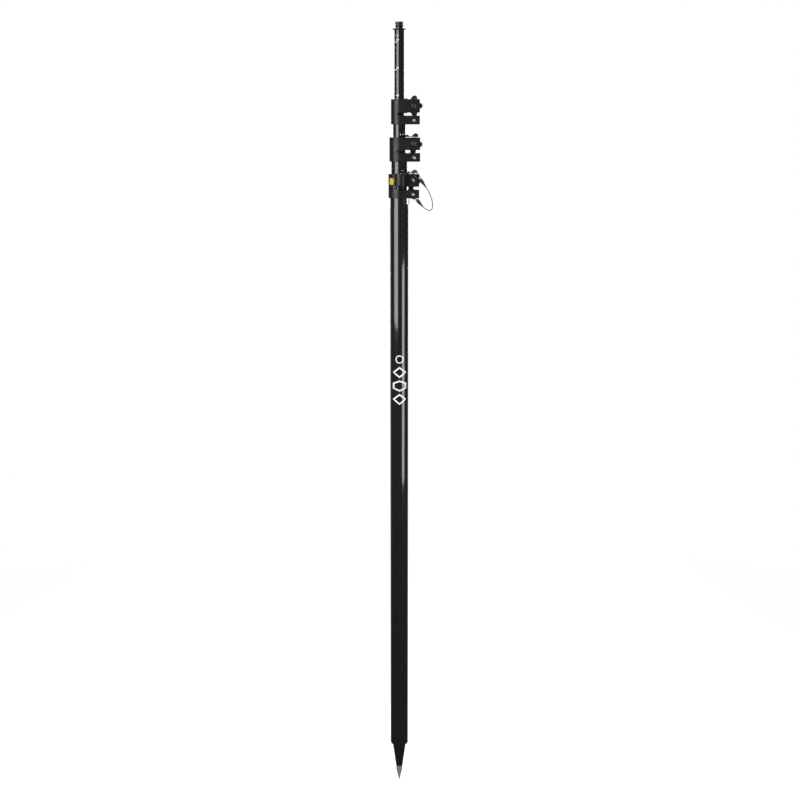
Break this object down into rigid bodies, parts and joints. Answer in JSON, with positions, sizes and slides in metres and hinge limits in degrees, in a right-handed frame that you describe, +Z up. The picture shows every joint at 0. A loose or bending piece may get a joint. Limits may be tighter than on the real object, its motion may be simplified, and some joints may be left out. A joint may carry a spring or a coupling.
{
  "type": "telescopic prism pole",
  "caption": "Telescopic carbon-fibre surveying pole with clamp knobs, circular level, stowed locking pin, graduated top tube, threaded mounting stud and pointed foot.",
  "frame": {"origin": "tip of the foot point, on the pole's axis", "axes": "+Z up the pole towards the mounting stud, +X towards the clamp ears, +Y towards the clamp knobs; the level and pin are on the -Y side"},
  "size_m": [0.0826, 0.0721, 1.512],
  "materials": {
    "carbon": "black carbon-fibre twill under a clear gloss coat",
    "black_alloy": "machined aluminium, matte black anodised",
    "point_steel": "hardened steel, turned",
    "bolt_steel": "bright zinc-plated steel",
    "pin_steel": "polished stainless steel",
    "wire": "stranded stainless wire rope",
    "sleeve_plastic": "black moulded sleeve over the crimp",
    "knob_plastic": "black glass-filled nylon",
    "insert_brass": "turned brass",
    "liner_nylon": "dark nylon",
    "bush_plastic": "white acetal",
    "plug_plastic": "black nylon",
    "cup_plastic": "white plastic",
    "spirit": "yellow-green level fluid",
    "level_lens": "clear domed lens",
    "bezel_alloy": "satin natural anodised",
    "yellow_plate": "semi-gloss yellow enamel",
    "stud_steel": "black oxide steel"
  },
  "bodies": {
    "base": {"base_tube": "carbon", "foot_socket": "black_alloy", "foot_cone": "black_alloy", "foot_point": "point_steel", "lower_clamp_body": "black_alloy", "lower_clamp_liner": "liner_nylon", "lower_clamp_fixing_screw": "bolt_steel", "lower_draw_bolt": "bolt_steel", "level_cup": "cup_plastic", "level_fluid": "spirit", "level_glass": "level_lens", "level_bezel": "bezel_alloy", "level_screws": "bolt_steel", "colour_plate": "yellow_plate", "lanyard_cable": "wire", "lanyard_lower_crimp": "sleeve_plastic", "lanyard_lower_loop": "wire", "lanyard_anchor_screw": "bolt_steel"},
    "lock_pin": {"lock_pin": "pin_steel", "pull_ring": "pin_steel", "lanyard_upper_loop": "wire", "lanyard_upper_crimp": "sleeve_plastic"},
    "lower_washer": {"lower_thrust_washer": "bolt_steel"},
    "lower_knob": {"lower_knob": "knob_plastic", "lower_knob_insert": "insert_brass"},
    "lower_section": {"lower_tube": "carbon", "lower_guide_bush": "bush_plastic", "lower_stop_plug": "plug_plastic", "middle_clamp_body": "black_alloy", "middle_clamp_liner": "liner_nylon", "middle_clamp_fixing_screw": "bolt_steel", "middle_draw_bolt": "bolt_steel"},
    "middle_washer": {"middle_thrust_washer": "bolt_steel"},
    "middle_knob": {"middle_knob": "knob_plastic", "middle_knob_insert": "insert_brass"},
    "middle_section": {"middle_tube": "carbon", "middle_guide_bush": "bush_plastic", "middle_stop_plug": "plug_plastic", "upper_clamp_body": "black_alloy", "upper_clamp_liner": "liner_nylon", "upper_clamp_fixing_screw": "bolt_steel", "upper_draw_bolt": "bolt_steel"},
    "upper_washer": {"upper_thrust_washer": "bolt_steel"},
    "upper_knob": {"upper_knob": "knob_plastic", "upper_knob_insert": "insert_brass"},
    "top_section": {"top_tube": "carbon", "top_guide_bush": "bush_plastic", "top_stop_plug": "plug_plastic", "top_adapter": "black_alloy", "top_stud": "stud_steel"}
  },
  "joints": [
    {"name": "lower_section_slide", "type": "slide", "parent": "base", "child": "lower_section", "axis": [0, 0, 1], "range_m": [0, 1.01]},
    {"name": "middle_section_slide", "type": "slide", "parent": "lower_section", "child": "middle_section", "axis": [0, 0, 1], "range_m": [0, 1.04]},
    {"name": "top_section_slide", "type": "slide", "parent": "middle_section", "child": "top_section", "axis": [0, 0, 1], "range_m": [0, 1.07]},
    {"name": "lock_pin_slide", "type": "slide", "parent": "base", "child": "lock_pin", "axis": [0, 0, 1], "range_m": [0, 0.016]},
    {"name": "lower_knob_travel", "type": "slide", "parent": "base", "child": "lower_washer", "axis": [0, 1, 0], "range_m": [0, 0.001]},
    {"name": "lower_knob_turn", "type": "hinge", "parent": "lower_washer", "child": "lower_knob", "pos_m": [0.0245, 0.0245, 1.222], "axis": [0, 1, 0], "range_deg": [0, 360]},
    {"name": "middle_knob_travel", "type": "slide", "parent": "lower_section", "child": "middle_washer", "axis": [0, 1, 0], "range_m": [0, 0.001]},
    {"name": "middle_knob_turn", "type": "hinge", "parent": "middle_washer", "child": "middle_knob", "pos_m": [0.027, 0.0227, 1.2898], "axis": [0, 1, 0], "range_deg": [0, 360]},
    {"name": "upper_knob_travel", "type": "slide", "parent": "middle_section", "child": "upper_washer", "axis": [0, 1, 0], "range_m": [0, 0.001]},
    {"name": "upper_knob_turn", "type": "hinge", "parent": "upper_washer", "child": "upper_knob", "pos_m": [0.0266, 0.0196, 1.3592], "axis": [0, 1, 0], "range_deg": [0, 360]}
  ],
  "couplings": [
    {"joint": "lower_knob_turn", "follows": "lower_knob_travel", "rad_per_m": 6283.2},
    {"joint": "middle_knob_turn", "follows": "middle_knob_travel", "rad_per_m": 6283.2},
    {"joint": "upper_knob_turn", "follows": "upper_knob_travel", "rad_per_m": 6283.2}
  ]
}
